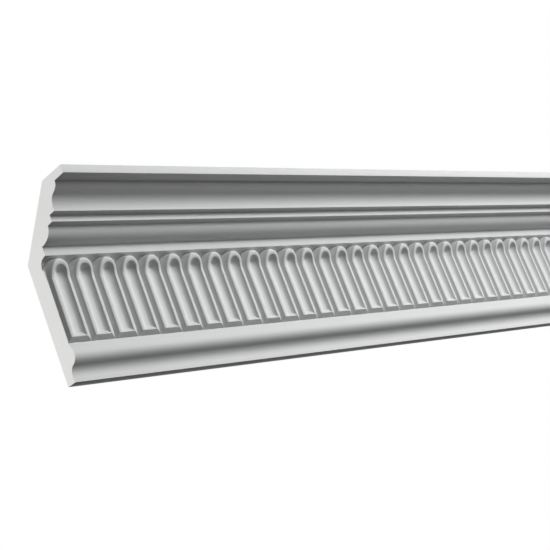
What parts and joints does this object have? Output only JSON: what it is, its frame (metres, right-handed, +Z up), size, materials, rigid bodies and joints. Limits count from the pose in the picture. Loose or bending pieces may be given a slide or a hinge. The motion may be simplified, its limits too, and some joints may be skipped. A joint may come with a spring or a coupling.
{
  "type": "cornice moulding",
  "caption": "Cornice moulding for the corner between wall and ceiling, with a stepped profile, a band of upright round-headed flutes and a roll above a cove at the foot.",
  "frame": {"origin": "middle of the face that lies against the wall: half way along the length, half way up that face, on the wall plane", "axes": "+X along the length, +Y into the wall, +Z up towards the ceiling; the fluted front faces -Y"},
  "size_m": [0.7272, 0.0734, 0.15],
  "materials": {
    "primed_foam": "matt white primer on cast hard foam"
  },
  "bodies": {
    "root": {"cornice_moulding": "primed_foam"}
  },
  "joints": []
}
